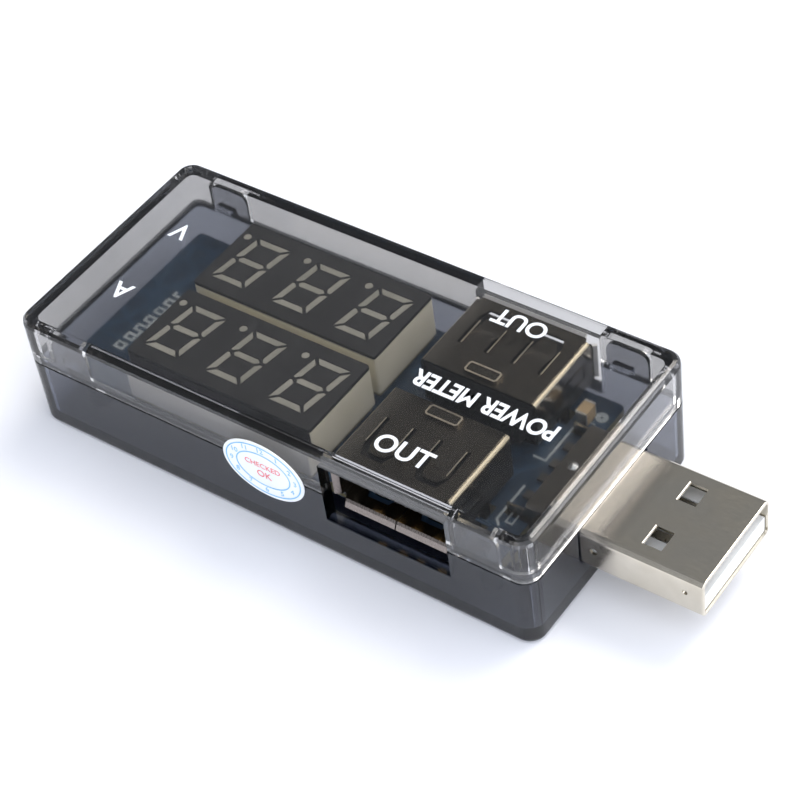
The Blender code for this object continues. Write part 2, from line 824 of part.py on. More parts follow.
def build_outlet(name, turn):
    """Outlet: flared shell, insulator with its tongue and tails, and four sprung contacts."""
    pivot = (OUTLET_X, 0.0)

    def settle(mesh):
        return turned(mesh, pivot) if turn else mesh

    tube = outlet_tube(OUTLET_FRONT, OUTLET_REAR, 0.0, OUTLET_CORNER)
    shell = place(name + "_shell", settle(tube), STEEL)
    bore = outlet_tube(OUTLET_FRONT - 1.0, OUTLET_REAR + 1.0, SHEET, OUTLET_CORNER - SHEET)
    cut(shell, settle(bore), "bore")
    join(shell, settle(outlet_lips()), "lips")
    cut(shell, settle(mouth_notches()), "mouth_notches")
    cut(shell, settle(finger_windows()), "finger_windows")
    join(shell, settle(finger_ends()), "finger_ends")
    cut(shell, settle(finger_slots(OUTLET_HIGH - 1.0, OUTLET_HIGH + 1.0)), "top_fingers")
    cut(shell, settle(finger_slots(OUTLET_LOW - 1.0, OUTLET_LOW + 1.0)), "bottom_fingers")
    side = OUTLET_WIDTH / 2
    seam = boxes([(
        (OUTLET_X - 0.07, OUTLET_FRONT - 1.0, OUTLET_LOW - 1.0),
        (OUTLET_X + 0.07, OUTLET_REAR - 0.8, OUTLET_LOW + 1.0),
    )])
    cut(shell, settle(seam), "bottom_seam")
    side_slots = []
    for edge in half(OUTLET_WIDTH):
        x = OUTLET_X + edge
        outline = ((-7.2, 8.6), (-10.6, 8.6), (-10.6, 10.6), (-7.2, 10.6), (-7.2, 10.3), (-10.3, 10.3),
                   (-10.3, 8.9), (-7.2, 8.9))
        side_slots.append(prism(outline, 0, x - 0.9, x + 0.9))
    cut(shell, settle(merge(side_slots)), "side_fingers")
    tab = rounded_block(
        (OUTLET_X - 1.9, -4.0, OUTLET_HIGH - 0.15),
        (OUTLET_X + 1.9, -2.6, OUTLET_HIGH + 0.35),
        0.25,
        segments=2,
    )
    join(shell, settle(tab), "top_tab")
    legs = []
    for sign in (-1, 1):
        low_x, high_x = sorted((OUTLET_X + sign * side, OUTLET_X + sign * (side - SHEET)))
        legs.append(((low_x, -7.6, 3.9), (high_x, -6.4, OUTLET_LOW + 1.2)))
    join(shell, settle(boxes(legs)), "legs")
    soften(shell)

    inner_x = side - SHEET - 0.15
    block = place(
        name + "_insulator",
        settle(boxes([(
            (OUTLET_X - inner_x, TONGUE_REAR, OUTLET_LOW + SHEET + 0.15),
            (OUTLET_X + inner_x, OUTLET_REAR - 0.1, OUTLET_HIGH - SHEET - 0.15),
        )])),
        BLACK_NYLON,
    )
    tongue = rounded_block(
        (OUTLET_X - TONGUE_HALF, TONGUE_FRONT, TONGUE_LOW),
        (OUTLET_X + TONGUE_HALF, TONGUE_REAR + 0.5, TONGUE_HIGH),
        0.0,
        axis=1,
        low_round=0.3,
    )
    join(block, settle(tongue), "tongue")
    tail_block = boxes([(
        (OUTLET_X - inner_x + 1.0, OUTLET_REAR - 0.6, 7.3),
        (OUTLET_X + inner_x - 1.0, -1.2, 9.3),
    )])
    join(block, settle(tail_block), "tail_block")
    tails = []
    for offset in CONTACT_OFFSETS:
        x = OUTLET_X + offset
        tails.append(((x - 0.25, -1.8, 3.9), (x + 0.25, -1.3, 7.6)))
    join(block, settle(boxes(tails)), "tails")
    grooves = []
    for offset in CONTACT_OFFSETS:
        x = OUTLET_X + offset
        grooves.append((
            (x - GROOVE_WIDTH / 2, TONGUE_FRONT + 0.2, TONGUE_LOW - 0.5),
            (x + GROOVE_WIDTH / 2, TONGUE_REAR - 0.1, TONGUE_LOW + 1.0),
        ))
    cut(block, settle(boxes(grooves)), "contact_grooves")

    for number, offset in enumerate(CONTACT_OFFSETS, start=1):
        mesh = strip(SPRING_PATH, 0, OUTLET_X + offset, SPRING_WIDTH, SPRING_SHEET)
        root = Vector((OUTLET_X + offset, SPRING_ROOT[0], SPRING_ROOT[1]))
        if turn:
            root = Vector((OUTLET_X - offset, -SPRING_ROOT[0], SPRING_ROOT[1]))
        place("%s_contact_%d" % (name, number), settle(mesh), GOLD, origin=root)


def build_sticker():
    """Oval inspection seal on the long wall, across the parting line."""
    outline = []
    for i in range(SEAL_SIDES):
        turn = 2 * math.pi * i / SEAL_SIDES
        x = SEAL_CENTRE[0] + SEAL_HALF[0] * math.cos(turn)
        outline.append((x, SEAL_CENTRE[1] + SEAL_HALF[1] * math.sin(turn)))
    face = -CASE_WIDTH / 2 - 0.05
    place("inspection_seal", prism(outline, 1, face - 0.12, face), PAPER)


def build_chip(name, centre, size, look, leads=0, face="bottom"):
    """Surface-mounted component; leads is the number of legs on each long side."""
    gap = 0.08
    if face == "top":
        low_z, high_z = BOARD_TOP + gap, BOARD_TOP + gap + size[2]
        lead_low, lead_high = low_z, low_z + 0.35
    else:
        low_z, high_z = BOARD_LOW - gap - size[2], BOARD_LOW - gap
        lead_low, lead_high = high_z - 0.35, high_z
    body = place(
        name,
        rounded_block(
            (centre[0] - size[0] / 2, centre[1] - size[1] / 2, low_z),
            (centre[0] + size[0] / 2, centre[1] + size[1] / 2, high_z),
            min(size[0], size[1]) * 0.06,
            segments=1,
        ),
        look,
    )
    if leads:
        legs = []
        pitch = size[0] / leads
        for i in range(leads):
            x = centre[0] + (i - (leads - 1) / 2) * pitch
            for sign in (-1, 1):
                near = centre[1] + sign * (size[1] / 2 - 0.2)
                far = centre[1] + sign * (size[1] / 2 + 1.0)
                low_y, high_y = sorted((near, far))
                legs.append(((x - 0.2, low_y, lead_low), (x + 0.2, high_y, lead_high)))
        join(body, boxes(legs), "leads")


def build_electronics():
    """Measuring electronics on both faces of the board."""
    build_chip("meter_chip", (-7.17, -6.1), (9.9, 3.9, 1.6), CHIP_BLACK, leads=8)
    build_chip("regulator", (-20.6, 5.2), (4.4, 2.4, 1.4), CHIP_BLACK, leads=3)
    build_chip("shunt_resistor", (14.3, 4.6), (6.3, 3.2, 0.7), CHIP_BLACK)
    build_chip("protection_diode", (-20.6, -5.6), (4.3, 2.6, 1.8), CHIP_BLACK)
    build_chip("filter_capacitor", (22.8, 7.6), (1.2, 2.0, 1.6), TAN_CERAMIC, face="top")
    for number, centre in enumerate(((-17.2, 0.6), (3.6, -1.2), (5.4, 6.6)), start=1):
        build_chip("capacitor_%d" % number, centre, (1.9, 1.2, 0.9), TAN_CERAMIC)
    for number, centre in enumerate(((4.0, 3.2), (3.6, -4.6), (18.2, -5.2), (9.8, -5.2)), start=1):
        build_chip("resistor_%d" % number, centre, (1.9, 1.2, 0.5), CHIP_BLACK)


for leftover in list(bpy.data.objects):
    bpy.data.objects.remove(leftover, do_unlink=True)

PARTS = new_collection("usb_power_meter")
CUTTERS = new_collection("cutters", hidden=True)

SMOKED = new_material("smoked_base_plastic", (0.16, 0.18, 0.21), 0.12, transmission=0.9)
SMOKED_LIGHT = new_material("smoked_cover_plastic", (0.33, 0.33, 0.35), 0.08, transmission=0.9)
BOARD_BLUE = new_material("board_laminate_blue", (0.02, 0.06, 0.13), 0.4)
LAMINATE = new_material("display_base_laminate", (0.45, 0.42, 0.3), 0.5)
CREAM = new_material("display_housing_cream", (0.62, 0.58, 0.47), 0.45)
RESIN = new_material("display_resin_grey", (0.42, 0.4, 0.33), 0.35)
FACE_GREY = new_material("display_face_dark_grey", (0.045, 0.045, 0.05), 0.5)
STEEL = new_material("nickel_plated_steel", (0.62, 0.58, 0.52), 0.28, metallic=1.0)
WHITE_NYLON = new_material("white_nylon", (0.82, 0.82, 0.8), 0.45)
BLACK_NYLON = new_material("black_nylon", (0.02, 0.02, 0.022), 0.5)
GOLD = new_material("gold_plated_bronze", (0.85, 0.62, 0.28), 0.3, metallic=1.0)
PAPER = new_material("white_seal_paper", (0.85, 0.88, 0.9), 0.6)
CHIP_BLACK = new_material("chip_black", (0.02, 0.02, 0.02), 0.45)
TAN_CERAMIC = new_material("tan_ceramic", (0.52, 0.38, 0.22), 0.4)

build_lower_case()
build_upper_cover()
build_board()
for module_name, module_x, module_y in MODULES:
    build_display(module_name, module_x, module_y)
build_plug()
build_outlet("outlet_a", False)
build_outlet("outlet_b", True)
build_sticker()
build_electronics()
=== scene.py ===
"""Visual scene of a USB power meter with a clear smoked case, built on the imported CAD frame."""
import math

import bmesh
import bpy
from mathutils import Matrix, Vector


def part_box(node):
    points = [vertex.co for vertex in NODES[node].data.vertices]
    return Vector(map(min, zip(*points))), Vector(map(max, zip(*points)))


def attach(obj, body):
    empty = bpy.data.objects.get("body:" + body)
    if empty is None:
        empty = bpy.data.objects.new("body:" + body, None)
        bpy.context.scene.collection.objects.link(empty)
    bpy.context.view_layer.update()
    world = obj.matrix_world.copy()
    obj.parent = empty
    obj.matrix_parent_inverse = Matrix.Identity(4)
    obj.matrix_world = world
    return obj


MM = 0.001
METER = "meter"

# Camera: azimuth, elevation and roll in degrees, distance and target in millimetres
VIEW_AZIMUTH = 41.42
VIEW_ELEVATION = 45.17
VIEW_ROLL = -8.79
VIEW_DISTANCE = 228.4
VIEW_TARGET = (5.49, 0.87, 7.0)
VIEW_LENS = 104.8

# The dim parts of the surroundings: the direction, inner reach and outer reach of each, in degrees
DIM_ZONES = (
    ((-0.6, 0.53, 0.6), 34.0, 56.0),
    ((-0.62, -0.64, 0.46), 20.0, 48.0),
)

# Floor: half its width and how far it lies under the meter, in metres
FLOOR_REACH = 3.0
FLOOR_GAP = 0.00005

# Heights and places shared by several pieces, in millimetres
CASE_TOP = 14.0
BOARD_TOP = 6.5
BOARD_LOW = 4.9
SEAL_FACE = -14.17
SEAL_X = 0.2
SEAL_Z = 8.22
INK = 0.02
INK_LIFT = 0.012
CASE_INNER_END = 29.5
OUTLET_X = 14.3
OUTLET_HALF = 6.6
OUTLET_TOP = 12.3
OUTLET_LIP = (12.15, 13.0)
SHADE_BAND_LOW = 10.6
DISPLAY_TOP = 13.0
MASK_EDGE = 0.02

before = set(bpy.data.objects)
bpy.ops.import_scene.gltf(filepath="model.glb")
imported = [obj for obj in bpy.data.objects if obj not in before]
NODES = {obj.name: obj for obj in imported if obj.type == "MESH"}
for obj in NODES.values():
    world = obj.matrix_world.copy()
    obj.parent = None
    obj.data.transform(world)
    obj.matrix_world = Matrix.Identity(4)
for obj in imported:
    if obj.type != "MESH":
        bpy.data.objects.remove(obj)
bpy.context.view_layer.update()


# ---------------------------------------------------------------- node helpers

def new_material(name):
    """Return a material, its node tree and its Principled shader."""
    made = bpy.data.materials.new(name)
    made.use_nodes = True
    tree = made.node_tree
    return made, tree, tree.nodes["Principled BSDF"]


def add(tree, kind, **settings):
    """Add a shader node and set its properties and its unlinked inputs."""
    made = tree.nodes.new("ShaderNode" + kind)
    inputs = settings.pop("inputs", {})
    for key, value in settings.items():
        setattr(made, key, value)
    for key, value in inputs.items():
        made.inputs[key].default_value = value
    return made


def link(tree, source, target):
    """Link an output socket to an input socket."""
    tree.links.new(source, target)


def coordinates(tree, scale=(1.0, 1.0, 1.0)):
    """Return object coordinates stretched by a scale on each axis."""
    place = add(tree, "TexCoord")
    mapping = add(tree, "Mapping", inputs={"Scale": scale})
    link(tree, place.outputs["Object"], mapping.inputs["Vector"])
    return mapping.outputs["Vector"]


def noise(tree, vector, scale, detail=3.0, roughness=0.55):
    """Return the value of a noise texture."""
    made = add(tree, "TexNoise", inputs={"Scale": scale, "Detail": detail, "Roughness": roughness})
    link(tree, vector, made.inputs["Vector"])
    return made.outputs["Fac"]


def ramp(tree, value, low, high, start=0.0, end=1.0):
    """Map a value's range to a new range, clamped."""
    made = add(tree, "MapRange", inputs={"From Min": low, "From Max": high, "To Min": start, "To Max": end})
    link(tree, value, made.inputs["Value"])
    return made.outputs["Result"]


def blend_colours(tree, factor, first, second):
    """Mix two colours; each is a tuple or a socket."""
    made = add(tree, "Mix", data_type="RGBA")
    link(tree, factor, made.inputs["Factor"])
    for value, socket in ((first, made.inputs["A"]), (second, made.inputs["B"])):
        if isinstance(value, tuple):
            socket.default_value = (*value, 1.0)
        else:
            link(tree, value, socket)
    return made.outputs["Result"]


def math_node(tree, operation, first, second=None):
    """Return the result of a math node; operands are numbers or sockets."""
    made = add(tree, "Math", operation=operation)
    for value, socket in ((first, made.inputs[0]), (second, made.inputs[1])):
        if value is None:
            continue
        if isinstance(value, (int, float)):
            socket.default_value = value
        else:
            link(tree, value, socket)
    return made.outputs["Value"]


def bump(tree, shader, height, strength, distance):
    """Feed a height into the shader's normal."""
    made = add(tree, "Bump", inputs={"Strength": strength, "Distance": distance})
    link(tree, height, made.inputs["Height"])
    link(tree, made.outputs["Normal"], shader.inputs["Normal"])


def coordinate_of(tree, axis):
    """Return one object coordinate in metres."""
    place = add(tree, "TexCoord")
    split = add(tree, "SeparateXYZ")
    link(tree, place.outputs["Object"], split.inputs["Vector"])
    return split.outputs["XYZ".index(axis)]


# ---------------------------------------------------------------- materials

def plastic(name, colour, other, roughness, grain=900.0, depth=0.00002, marks=()):
    """Moulded plastic with a mottled colour, an uneven gloss and a fine grain; marks recolour regions."""
    made, tree, shader = new_material(name)
    place = coordinates(tree)
    broad = noise(tree, place, grain * 0.25, 4.0)
    fine = noise(tree, place, grain * 4.0, 2.0)
    tone = blend_colours(tree, ramp(tree, broad, 0.35, 0.65), colour, other)
    for mask_of, mark in marks:
        tone = blend_colours(tree, mask_of(tree), tone, mark)
    link(tree, tone, shader.inputs["Base Color"])
    link(tree, ramp(tree, fine, 0.3, 0.7, roughness * 0.85, roughness * 1.15), shader.inputs["Roughness"])
    bump(tree, shader, fine, 0.35, depth)
    return made


def metal(name, colour, other, roughness, stretch=(1.0, 1.0, 1.0), grain=2500.0, depth=0.000006, marks=()):
    """Plated metal with drawn streaks, faint stains and an uneven gloss; marks recolour regions."""
    made, tree, shader = new_material(name)
    shader.inputs["Metallic"].default_value = 1.0
    streaks = noise(tree, coordinates(tree, stretch), grain, 5.0, 0.65)
    stains = noise(tree, coordinates(tree), 260.0, 4.0)
    tone = blend_colours(tree, ramp(tree, stains, 0.35, 0.7), colour, other)
    worn = math_node(tree, "ADD", ramp(tree, streaks, 0.3, 0.7, 0.0, roughness * 0.5),
                     ramp(tree, stains, 0.3, 0.7, roughness * 0.75, roughness * 1.1))
    for mask_of, mark, gloss in marks:
        mask = mask_of(tree)
        tone = blend_colours(tree, mask, tone, mark)
        worn = math_node(tree, "MULTIPLY", worn, ramp(tree, mask, 0.0, 1.0, 1.0, gloss))
    link(tree, tone, shader.inputs["Base Color"])
    link(tree, worn, shader.inputs["Roughness"])
    bump(tree, shader, streaks, 0.25, depth)
    return made


def smoked(name, absorb, density, surface, shadow, roughness):
    """Clear smoked plastic: tinted where light enters and leaves, and along long ways through it."""
    made, tree, shader = new_material(name)
    place = coordinates(tree)
    broad = noise(tree, place, 70.0, 3.0)
    fine = noise(tree, place, 1400.0, 2.0)
    shader.inputs["Transmission Weight"].default_value = 1.0
    shader.inputs["IOR"].default_value = 1.5
    shade = tuple(value * 0.96 for value in surface)
    tone = blend_colours(tree, ramp(tree, broad, 0.35, 0.65), surface, shade)
    link(tree, tone, shader.inputs["Base Color"])
    link(tree, ramp(tree, fine, 0.3, 0.7, roughness * 0.85, roughness * 1.15), shader.inputs["Roughness"])
    bump(tree, shader, broad, 0.06, 0.00003)
    output = tree.nodes["Material Output"]
    path = add(tree, "LightPath")
    clear = add(tree, "BsdfTransparent", inputs={"Color": (*shadow, 1.0)})
    mix = add(tree, "MixShader")
    link(tree, path.outputs["Is Shadow Ray"], mix.inputs["Fac"])
    link(tree, shader.outputs["BSDF"], mix.inputs[1])
    link(tree, clear.outputs["BSDF"], mix.inputs[2])
    link(tree, mix.outputs["Shader"], output.inputs["Surface"])
    volume = add(tree, "VolumeAbsorption", inputs={"Color": (*absorb, 1.0), "Density": density})
    link(tree, volume.outputs["Volume"], output.inputs["Volume"])
    return made


def board_material():
    """Dark blue solder mask with raised copper tracks under it and bare edges."""
    made, tree, shader = new_material("board_mask")
    place = coordinates(tree)
    cells = add(tree, "TexVoronoi", feature="DISTANCE_TO_EDGE", inputs={"Scale": 300.0, "Randomness": 0.75})
    link(tree, place, cells.inputs["Vector"])
    tracks = ramp(tree, cells.outputs["Distance"], 0.05, 0.09, 1.0, 0.0)
    patches = ramp(tree, noise(tree, place, 90.0, 2.0), 0.48, 0.52)
    copper = math_node(tree, "MULTIPLY", tracks, patches)
    mottled = ramp(tree, noise(tree, place, 700.0, 3.0), 0.3, 0.7)
    base = blend_colours(tree, mottled, (0.01, 0.026, 0.05), (0.014, 0.034, 0.066))
    tone = blend_colours(tree, copper, base, (0.018, 0.045, 0.085))
    height = coordinate_of(tree, "Z")
    middle = (BOARD_TOP + BOARD_LOW) / 2 * MM
    off_middle = math_node(tree, "ABSOLUTE", math_node(tree, "SUBTRACT", height, middle))
    side = ramp(tree, off_middle, 0.68 * MM, 0.74 * MM, 1.0, 0.0)
    link(tree, blend_colours(tree, side, tone, (0.16, 0.14, 0.07)), shader.inputs["Base Color"])
    link(tree, ramp(tree, mottled, 0.0, 1.0, 0.3, 0.42), shader.inputs["Roughness"])
    bump(tree, shader, copper, 0.5, 0.00004)
    return made


def two_tone(name, body, tip, mask_of):
    """A body colour with metal where a mask is 1."""
    made, tree, shader = new_material(name)
    place = coordinates(tree)
    grain = noise(tree, place, 2600.0, 3.0)
    mask = mask_of(tree)
    dull = tuple(value * 0.8 for value in body)
    inside = blend_colours(tree, ramp(tree, grain, 0.3, 0.7), body, dull)
    bright = tuple(value * 0.82 for value in tip)
    outside = blend_colours(tree, ramp(tree, grain, 0.3, 0.7), tip, bright)
    link(tree, blend_colours(tree, mask, inside, outside), shader.inputs["Base Color"])
    link(tree, mask, shader.inputs["Metallic"])
    uneven = ramp(tree, grain, 0.3, 0.7, -0.05, 0.05)
    rough = math_node(tree, "ADD", ramp(tree, mask, 0.0, 1.0, 0.45, 0.3), uneven)
    link(tree, rough, shader.inputs["Roughness"])
    bump(tree, shader, grain, 0.3, 0.00001)
    return made


def ends_mask(axis, centre, reach):
    """Return a mask builder that is 1 further than reach from centre along an axis, in millimetres."""
    def build(tree):
        offset = math_node(tree, "SUBTRACT", coordinate_of(tree, axis), centre * MM)
        distance = math_node(tree, "ABSOLUTE", offset)
        return ramp(tree, distance, (reach - MASK_EDGE) * MM, (reach + MASK_EDGE) * MM)
    return build


def below_mask(level):
    """Return a mask builder that is 1 below a height, in millimetres."""
    def build(tree):
        height = coordinate_of(tree, "Z")
        return ramp(tree, height, (level - MASK_EDGE) * MM, (level + MASK_EDGE) * MM, 1.0, 0.0)
    return build


def region_mask(*limits, soft=0.03):
    """Return a mask builder that is 1 inside every (axis, low, high) limit, in millimetres."""
    def build(tree):
        result = None
        for axis, low, high in limits:
            value = coordinate_of(tree, axis)
            rise = ramp(tree, value, (low - soft) * MM, (low + soft) * MM)
            fall = ramp(tree, value, (high - soft) * MM, (high + soft) * MM, 1.0, 0.0)
            window = math_node(tree, "MULTIPLY", rise, fall)
            result = window if result is None else math_node(tree, "MULTIPLY", result, window)
        return result
    return build


def slope_mask(axis, start, end):
    """Return a mask builder that grows from 0 at start to 1 at end, in millimetres."""
    def build(tree):
        if start < end:
            return ramp(tree, coordinate_of(tree, axis), start * MM, end * MM)
        return ramp(tree, coordinate_of(tree, axis), end * MM, start * MM, 1.0, 0.0)
    return build


def assign(node, material):
    """Give a CAD node one material."""
    slots = NODES[node].data.materials
    slots.clear()
    slots.append(material)


TIN = (0.62, 0.62, 0.6)
COVER = smoked("cover_smoked", (0.4, 0.39, 0.4), 130.0, (0.75, 0.745, 0.735), (0.8, 0.8, 0.8), 0.08)
BASE = smoked("base_smoked", (0.38, 0.42, 0.5), 560.0, (0.5, 0.51, 0.55), (0.42, 0.44, 0.49), 0.09)
# Plug steel: darker below X 33 as painted shade near the case, and darker still within the case end as
# painted shade under the cover
STEEL = metal("plug_steel", (0.72, 0.67, 0.57), (0.63, 0.58, 0.48), 0.16, (1.0, 14.0, 4.0), grain=1200.0,
              depth=0.0000008, marks=(
                  (slope_mask("X", 34.6, 33.0), (0.5, 0.46, 0.4), 1.0),
                  (slope_mask("X", CASE_INNER_END, CASE_INNER_END - 0.2), (0.3, 0.27, 0.23), 1.0),
              ))


def outlet_steel(name, side, lip_painted_light, lip_gloss, side_painted_shade):
    """Shell plating of one outlet: a tone darkened as painted shade, a painted highlight growing toward the
    -X side, painted shade on the +X side, a painted highlight on the +X top bend, and painted light on the
    lips; each outlet has its own tone for the lips and the +X side.
    """
    left = OUTLET_X - OUTLET_HALF
    right = OUTLET_X + OUTLET_HALF
    mouth = sorted(side * reach for reach in OUTLET_LIP)
    # Painted light: lighter toward the -X side, painted shade on the +X side, a painted highlight along the
    # +X top bend
    painted_light_left = slope_mask("X", left + 2.4, left + 0.1)
    painted_shade_right = region_mask(("X", right - 0.06, right + 1.0))
    painted_highlight_bend = region_mask(("X", right - 0.33, right + 1.0), ("Z", OUTLET_TOP - 0.42, OUTLET_TOP - 0.03))
    # The shell's own tone is darkened as painted shade; its worn patches are darker still
    dark, worn = (0.24, 0.21, 0.17), (0.17, 0.15, 0.12)
    return metal(name, dark, worn, 0.17, (14.0, 1.0, 4.0), grain=700.0, depth=0.0000005, marks=(
        (painted_light_left, (0.44, 0.4, 0.34), 1.0),
        (painted_shade_right, side_painted_shade, 1.0),
        (painted_highlight_bend, (0.95, 0.82, 0.58), 1.0),
        (region_mask(("Y", *mouth)), lip_painted_light, lip_gloss),
    ))


WORN_STEEL = metal("outlet_edge_steel", (0.62, 0.56, 0.46), (0.5, 0.44, 0.35), 0.4)
BRIGHT_EDGE = metal("plug_edge_steel", (0.66, 0.62, 0.55), (0.52, 0.48, 0.42), 0.3)
GOLD = metal("contact_gold", (0.9, 0.66, 0.3), (0.75, 0.5, 0.2), 0.2, (1.0, 8.0, 8.0))
SOLDER = metal("solder", (0.72, 0.72, 0.7), (0.55, 0.55, 0.53), 0.25, grain=1800.0)
WHITE_NYLON = plastic("white_nylon", (0.86, 0.86, 0.85), (0.78, 0.78, 0.77), 0.45)
CREAM_TONES = ((0.88, 0.83, 0.68), (0.8, 0.75, 0.6))
CREAM = plastic("display_cream", *CREAM_TONES, 0.4)
FACE_GREY = plastic("display_face_grey", (0.02, 0.02, 0.022), (0.028, 0.028, 0.03), 0.55)
RESIN = plastic("segment_resin", (0.4, 0.385, 0.335), (0.33, 0.32, 0.275), 0.4)
PAPER = plastic("seal_paper", (0.9, 0.92, 0.94), (0.84, 0.87, 0.9), 0.5, grain=1600.0)
PRINT = plastic("legend_white", (0.92, 0.93, 0.94), (0.78, 0.8, 0.82), 0.5, grain=1500.0)
SILK = plastic("silk_white", (0.55, 0.58, 0.58), (0.32, 0.36, 0.38), 0.6, grain=1800.0)
BLUE_INK = plastic("seal_blue_ink", (0.1, 0.42, 0.75), (0.25, 0.55, 0.82), 0.5, grain=2500.0)
RED_INK = plastic("seal_red_ink", (0.75, 0.1, 0.12), (0.82, 0.25, 0.25), 0.5, grain=2500.0)
TAN = (0.5, 0.36, 0.2)
CHIP = (0.016, 0.016, 0.017)

assign("upper_cover", COVER)
assign("lower_case", BASE)
assign("main_board", board_material())
assign("inspection_seal", PAPER)
assign("plug_shell", STEEL)
assign("plug_insulator", WHITE_NYLON)
# Plug contacts: near-black within the case end as painted shade, bare metal beyond it
for number in range(1, 5):
    assign("plug_contact_%d" % number, two_tone("plug_contact_%d_plating" % number, (0.05, 0.045, 0.04),
                                                (0.78, 0.76, 0.72), ends_mask("X", 0.0, CASE_INNER_END)))
    assign("outlet_a_contact_%d" % number, GOLD)
    assign("outlet_b_contact_%d" % number, GOLD)
for outlet in ("outlet_a", "outlet_b"):
    assign(outlet + "_insulator", two_tone(outlet + "_nylon", CHIP, TIN, below_mask(7.0)))
# Outlet A: lips a little lighter than its shell and deep painted shade on its +X side; outlet B: lips
# painted near-white as a highlight and its +X side in the shell's shaded tone
assign("outlet_a_shell", outlet_steel("outlet_a_steel", -1, (0.28, 0.245, 0.225), 1.4, (0.1, 0.09, 0.08)))
assign("outlet_b_shell", outlet_steel("outlet_b_steel", 1, (0.9, 0.88, 0.86), 3.2, (0.24, 0.22, 0.19)))
for module in ("display_volts", "display_amps"):
    assign(module + "_housing", CREAM)
    assign(module + "_face", FACE_GREY)
    assign(module + "_resin", RESIN)
    assign(module + "_base", two_tone(module + "_laminate", (0.3, 0.27, 0.14), TIN, below_mask(6.6)))

# The lower display's long side toward -Y: painted shade, with a near-black band of painted shade along its
# top
low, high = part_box("display_amps_housing")
long_side = ("Y", low[1] / MM - 1.0, low[1] / MM + 0.1)
assign("display_amps_housing", plastic("display_cream_painted_shade", *CREAM_TONES, 0.4, marks=(
    (region_mask(long_side), (0.5, 0.475, 0.43)),
    (region_mask(long_side, ("Z", SHADE_BAND_LOW, DISPLAY_TOP)), (0.02, 0.02, 0.022)),
)))

# Small parts: body colour, the axis of their two ends and how far out the ends begin
for node, colour, axis, share in (
    ("meter_chip", CHIP, "Y", 0.66),
    ("regulator", CHIP, "Y", 0.55),
    ("shunt_resistor", CHIP, "X", 0.8),
    ("protection_diode", CHIP, "X", 0.86),
    ("filter_capacitor", TAN, "Y", 0.72),
    ("capacitor_1", TAN, "X", 0.66),
    ("capacitor_2", TAN, "X", 0.66),
    ("capacitor_3", TAN, "X", 0.66),
    ("resistor_1", CHIP, "X", 0.7),
    ("resistor_2", CHIP, "X", 0.7),
    ("resistor_3", CHIP, "X", 0.7),
    ("resistor_4", CHIP, "X", 0.7),
):
    low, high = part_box(node)
    index = "XYZ".index(axis)
    centre = (low[index] + high[index]) / 2 / MM
    reach = (high[index] - low[index]) / 2 / MM * share
    assign(node, two_tone(node + "_finish", colour, TIN, ends_mask(axis, centre, reach)))


# ---------------------------------------------------------------- extra pieces

def keep(name, mesh, material, matrix=None):
    """Put a finished mesh, drawn in millimetres, on the meter's body."""
    mesh.name = name
    if matrix is not None:
        mesh.transform(matrix)
    mesh.transform(Matrix.Scale(MM, 4))
    mesh.materials.clear()
    mesh.materials.append(material)
    made = bpy.data.objects.new(name, mesh)
    bpy.context.scene.collection.objects.link(made)
    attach(made, METER)


def lettering(text, size, wide=1.0, weight=0.018):
    """Return the mesh of a short raised legend, centred on its own origin."""
    curve = bpy.data.curves.new(text, "FONT")
    curve.body = text
    curve.size = size
    curve.align_x = "CENTER"
    curve.align_y = "CENTER"
    curve.extrude = INK / 2
    curve.offset = size * weight
    curve.resolution_u = 6
    holder = bpy.data.objects.new(text, curve)
    mesh = bpy.data.meshes.new_from_object(holder)
    bpy.data.objects.remove(holder)
    mesh.transform(Matrix.Diagonal((wide, 1.0, 1.0, 1.0)))
    return mesh


def on_top(x, y, turn):
    """Return the placement of a flat legend on the cover's top."""
    return Matrix.Translation((x, y, CASE_TOP + INK_LIFT)) @ Matrix.Rotation(math.radians(turn), 4, "Z")


def on_seal():
    """Return the placement of a flat legend centred on the seal, on the wall that faces -Y."""
    centre = (SEAL_X, SEAL_FACE - INK_LIFT, SEAL_Z)
    return Matrix.Translation(centre) @ Matrix.Rotation(math.radians(90), 4, "X")


def finished(working, name):
    """Turn the faces of a shape under construction outward and return it as a mesh."""
    bmesh.ops.recalc_face_normals(working, faces=working.faces)
    mesh = bpy.data.meshes.new(name)
    working.to_mesh(mesh)
    working.free()
    return mesh


def band(working, first, second):
    """Join two closed loops of vertices with a band of faces."""
    count = len(first)
    for i in range(count):
        j = (i + 1) % count
        working.faces.new((first[i], first[j], second[j], second[i]))


def oval(working, radius_x, radius_y, height, sides):
    """Add a level oval of vertices."""
    loop = []
    for i in range(sides):
        turn = 2 * math.pi * i / sides
        loop.append(working.verts.new((radius_x * math.cos(turn), radius_y * math.sin(turn), height)))
    return loop


def bar_mesh(points, width, low, high):
    """Return a flat bar with mitred corners along a path of points."""
    left = []
    right = []
    last = len(points) - 1
    for i, point in enumerate(points):
        here = Vector(point)
        before = (here - Vector(points[i - 1])).normalized() if i > 0 else None
        after = (Vector(points[i + 1]) - here).normalized() if i < last else None
        run = ((before or after) + (after or before)).normalized()
        normal = Vector((-run.y, run.x))
        straight = before or after
        reach = width / 2 / max(0.3, normal.dot(Vector((-straight.y, straight.x))))
        left.append(here + normal * reach)
        right.append(here - normal * reach)
    outline = left + right[::-1]
    working = bmesh.new()
    count = len(outline)
    under = [working.verts.new((p.x, p.y, low)) for p in outline]
    over = [working.verts.new((p.x, p.y, high)) for p in outline]
    for i in range(last):
        j = count - 1 - i
        working.faces.new((over[i], over[i + 1], over[j - 1], over[j]))
        working.faces.new((under[j], under[j - 1], under[i + 1], under[i]))
    band(working, under, over)
    return finished(working, "bar")


